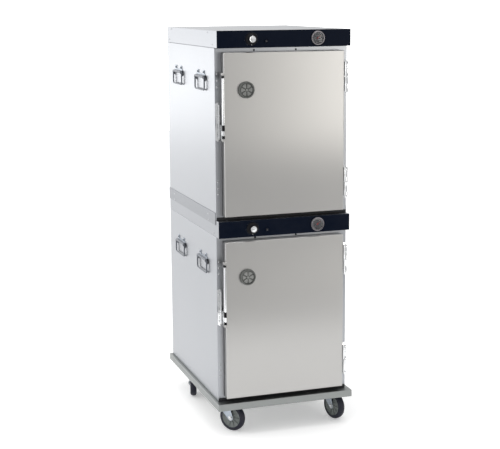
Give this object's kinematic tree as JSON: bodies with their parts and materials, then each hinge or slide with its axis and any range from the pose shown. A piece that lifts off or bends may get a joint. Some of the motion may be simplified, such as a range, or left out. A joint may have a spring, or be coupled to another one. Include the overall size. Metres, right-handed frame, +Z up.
{
  "type": "proofing cabinet",
  "caption": "Tall insulated proofing cabinet: stacked heated compartments with hinged doors, latches, vents, thermostat knobs and drop handles on a swivel-caster base.",
  "frame": {"origin": "centre of the footprint's box, on the floor under the casters", "axes": "+Z up, front with the doors towards -Y, +X to the right seen from the front"},
  "size_m": [0.652, 0.8744, 1.8316],
  "materials": {
    "satin_steel": "satin stainless sheet",
    "liner_steel": "bright stainless sheet",
    "band_steel": "dull stainless sheet",
    "base_steel": "dull stainless sheet",
    "zinc_plate": "zinc plated steel",
    "polished_chrome": "polished plate",
    "dark_fascia": "semi-gloss overlay",
    "black_plastic": "fine matte",
    "grey_plastic": "moulded",
    "gasket_rubber": "matte",
    "caster_tyre": "matte polyurethane",
    "heater_sheath": "dark oxidised sheath"
  },
  "bodies": {
    "cabinet_frame": {"base_frame": "base_steel", "stacking_band": "band_steel", "lower_casing": "satin_steel", "lower_liner": "liner_steel", "lower_cap": "satin_steel", "lower_fascia": "dark_fascia", "lower_thermometer": "polished_chrome", "lower_heater": "heater_sheath", "lower_latch_strike": "polished_chrome", "lower_hinge_bracket_top": "polished_chrome", "lower_hinge_bracket_bottom": "polished_chrome", "lower_drop_handle_plate_left_front": "zinc_plate", "lower_drop_handle_plate_left_rear": "zinc_plate", "lower_drop_handle_plate_right_front": "zinc_plate", "lower_drop_handle_plate_right_rear": "zinc_plate", "upper_casing": "satin_steel", "upper_liner": "liner_steel", "upper_cap": "satin_steel", "upper_fascia": "dark_fascia", "upper_thermometer": "polished_chrome", "upper_heater": "heater_sheath", "upper_latch_strike": "polished_chrome", "upper_hinge_bracket_top": "polished_chrome", "upper_hinge_bracket_bottom": "polished_chrome", "upper_drop_handle_plate_left_front": "zinc_plate", "upper_drop_handle_plate_left_rear": "zinc_plate", "upper_drop_handle_plate_right_front": "zinc_plate", "upper_drop_handle_plate_right_rear": "zinc_plate"},
    "caster_front_left": {"caster_fork_front_left": "zinc_plate"},
    "wheel_front_left": {"caster_wheel_front_left": "caster_tyre"},
    "brake_front_left": {"brake_pedal_front_left": "black_plastic"},
    "caster_front_right": {"caster_fork_front_right": "zinc_plate"},
    "wheel_front_right": {"caster_wheel_front_right": "caster_tyre"},
    "brake_front_right": {"brake_pedal_front_right": "black_plastic"},
    "caster_rear_left": {"caster_fork_rear_left": "zinc_plate"},
    "wheel_rear_left": {"caster_wheel_rear_left": "caster_tyre"},
    "caster_rear_right": {"caster_fork_rear_right": "zinc_plate"},
    "wheel_rear_right": {"caster_wheel_rear_right": "caster_tyre"},
    "lower_door_leaf": {"lower_door": "satin_steel", "lower_door_gasket": "gasket_rubber", "lower_hinge_strap_top": "polished_chrome", "lower_hinge_strap_bottom": "polished_chrome"},
    "lower_vent": {"lower_door_vent": "grey_plastic"},
    "lower_latch": {"lower_latch_handle": "polished_chrome"},
    "lower_knob": {"lower_thermostat_knob": "black_plastic"},
    "lower_bail_left_front": {"lower_drop_handle_bail_left_front": "zinc_plate"},
    "lower_bail_left_rear": {"lower_drop_handle_bail_left_rear": "zinc_plate"},
    "lower_bail_right_front": {"lower_drop_handle_bail_right_front": "zinc_plate"},
    "lower_bail_right_rear": {"lower_drop_handle_bail_right_rear": "zinc_plate"},
    "upper_door_leaf": {"upper_door": "satin_steel", "upper_door_gasket": "gasket_rubber", "upper_hinge_strap_top": "polished_chrome", "upper_hinge_strap_bottom": "polished_chrome"},
    "upper_vent": {"upper_door_vent": "grey_plastic"},
    "upper_latch": {"upper_latch_handle": "polished_chrome"},
    "upper_knob": {"upper_thermostat_knob": "black_plastic"},
    "upper_bail_left_front": {"upper_drop_handle_bail_left_front": "zinc_plate"},
    "upper_bail_left_rear": {"upper_drop_handle_bail_left_rear": "zinc_plate"},
    "upper_bail_right_front": {"upper_drop_handle_bail_right_front": "zinc_plate"},
    "upper_bail_right_rear": {"upper_drop_handle_bail_right_rear": "zinc_plate"}
  },
  "joints": [
    {"name": "swivel_front_left", "type": "hinge", "parent": "cabinet_frame", "child": "caster_front_left", "pos_m": [-0.258, -0.31025, 0.14], "axis": [0, 0, 1], "continuous": true},
    {"name": "roll_front_left", "type": "hinge", "parent": "caster_front_left", "child": "wheel_front_left", "pos_m": [-0.23357, -0.33936, 0.0635], "axis": [0.766, 0.6428, 0], "continuous": true},
    {"name": "brake_press_front_left", "type": "hinge", "parent": "caster_front_left", "child": "brake_front_left", "pos_m": [-0.27214, -0.2934, 0.117], "axis": [-0.766, -0.6428, 0], "range_deg": [0, 20]},
    {"name": "swivel_front_right", "type": "hinge", "parent": "cabinet_frame", "child": "caster_front_right", "pos_m": [0.258, -0.31025, 0.14], "axis": [0, 0, 1], "continuous": true},
    {"name": "roll_front_right", "type": "hinge", "parent": "caster_front_right", "child": "wheel_front_right", "pos_m": [0.26974, -0.34639, 0.0635], "axis": [0.9511, 0.309, 0], "continuous": true},
    {"name": "brake_press_front_right", "type": "hinge", "parent": "caster_front_right", "child": "brake_front_right", "pos_m": [0.2512, -0.28933, 0.117], "axis": [-0.9511, -0.309, 0], "range_deg": [0, 20]},
    {"name": "swivel_rear_left", "type": "hinge", "parent": "cabinet_frame", "child": "caster_rear_left", "pos_m": [-0.258, 0.23475, 0.14], "axis": [0, 0, 1], "continuous": true},
    {"name": "roll_rear_left", "type": "hinge", "parent": "caster_rear_left", "child": "wheel_rear_left", "pos_m": [-0.26847, 0.19822, 0.0635], "axis": [0.9613, -0.2756, 0], "continuous": true},
    {"name": "swivel_rear_right", "type": "hinge", "parent": "cabinet_frame", "child": "caster_rear_right", "pos_m": [0.258, 0.23475, 0.14], "axis": [0, 0, 1], "continuous": true},
    {"name": "roll_rear_right", "type": "hinge", "parent": "caster_rear_right", "child": "wheel_rear_right", "pos_m": [0.25271, 0.19712, 0.0635], "axis": [0.9903, -0.1392, 0], "continuous": true},
    {"name": "lower_door_swing", "type": "hinge", "parent": "cabinet_frame", "child": "lower_door_leaf", "pos_m": [0.293, -0.41525, 0.53805], "axis": [0, 0, 1], "range_deg": [0, 180]},
    {"name": "lower_vent_turn", "type": "hinge", "parent": "lower_door_leaf", "child": "lower_vent", "pos_m": [-0.181, -0.41325, 0.7373], "axis": [0, -1, 0], "range_deg": [0, 90]},
    {"name": "lower_latch_pull", "type": "hinge", "parent": "lower_door_leaf", "child": "lower_latch", "pos_m": [-0.289, -0.41125, 0.6643], "axis": [0, 0, -1], "range_deg": [0, 14], "stiffness_Nm_per_rad": 0.8, "springref_deg": -2.86},
    {"name": "lower_knob_turn", "type": "hinge", "parent": "cabinet_frame", "child": "lower_knob", "pos_m": [-0.156, -0.41325, 0.9568], "axis": [0, -1, 0], "range_deg": [0, 300]},
    {"name": "lower_bail_left_front_swing", "type": "hinge", "parent": "cabinet_frame", "child": "lower_bail_left_front", "pos_m": [-0.32, -0.16425, 0.7863], "axis": [0, 1, 0], "range_deg": [0, 90]},
    {"name": "lower_bail_left_rear_swing", "type": "hinge", "parent": "cabinet_frame", "child": "lower_bail_left_rear", "pos_m": [-0.32, 0.21575, 0.7863], "axis": [0, 1, 0], "range_deg": [0, 90]},
    {"name": "lower_bail_right_front_swing", "type": "hinge", "parent": "cabinet_frame", "child": "lower_bail_right_front", "pos_m": [0.32, -0.16425, 0.7863], "axis": [0, -1, 0], "range_deg": [0, 90]},
    {"name": "lower_bail_right_rear_swing", "type": "hinge", "parent": "cabinet_frame", "child": "lower_bail_right_rear", "pos_m": [0.32, 0.21575, 0.7863], "axis": [0, -1, 0], "range_deg": [0, 90]},
    {"name": "upper_door_swing", "type": "hinge", "parent": "cabinet_frame", "child": "upper_door_leaf", "pos_m": [0.293, -0.41525, 1.37535], "axis": [0, 0, 1], "range_deg": [0, 180]},
    {"name": "upper_vent_turn", "type": "hinge", "parent": "upper_door_leaf", "child": "upper_vent", "pos_m": [-0.181, -0.41325, 1.5746], "axis": [0, -1, 0], "range_deg": [0, 90]},
    {"name": "upper_latch_pull", "type": "hinge", "parent": "upper_door_leaf", "child": "upper_latch", "pos_m": [-0.289, -0.41125, 1.5016], "axis": [0, 0, -1], "range_deg": [0, 14], "stiffness_Nm_per_rad": 0.8, "springref_deg": -2.86},
    {"name": "upper_knob_turn", "type": "hinge", "parent": "cabinet_frame", "child": "upper_knob", "pos_m": [-0.156, -0.41325, 1.7941], "axis": [0, -1, 0], "range_deg": [0, 300]},
    {"name": "upper_bail_left_front_swing", "type": "hinge", "parent": "cabinet_frame", "child": "upper_bail_left_front", "pos_m": [-0.32, -0.16425, 1.6236], "axis": [0, 1, 0], "range_deg": [0, 90]},
    {"name": "upper_bail_left_rear_swing", "type": "hinge", "parent": "cabinet_frame", "child": "upper_bail_left_rear", "pos_m": [-0.32, 0.21575, 1.6236], "axis": [0, 1, 0], "range_deg": [0, 90]},
    {"name": "upper_bail_right_front_swing", "type": "hinge", "parent": "cabinet_frame", "child": "upper_bail_right_front", "pos_m": [0.32, -0.16425, 1.6236], "axis": [0, -1, 0], "range_deg": [0, 90]},
    {"name": "upper_bail_right_rear_swing", "type": "hinge", "parent": "cabinet_frame", "child": "upper_bail_right_rear", "pos_m": [0.32, 0.21575, 1.6236], "axis": [0, -1, 0], "range_deg": [0, 90]}
  ]
}
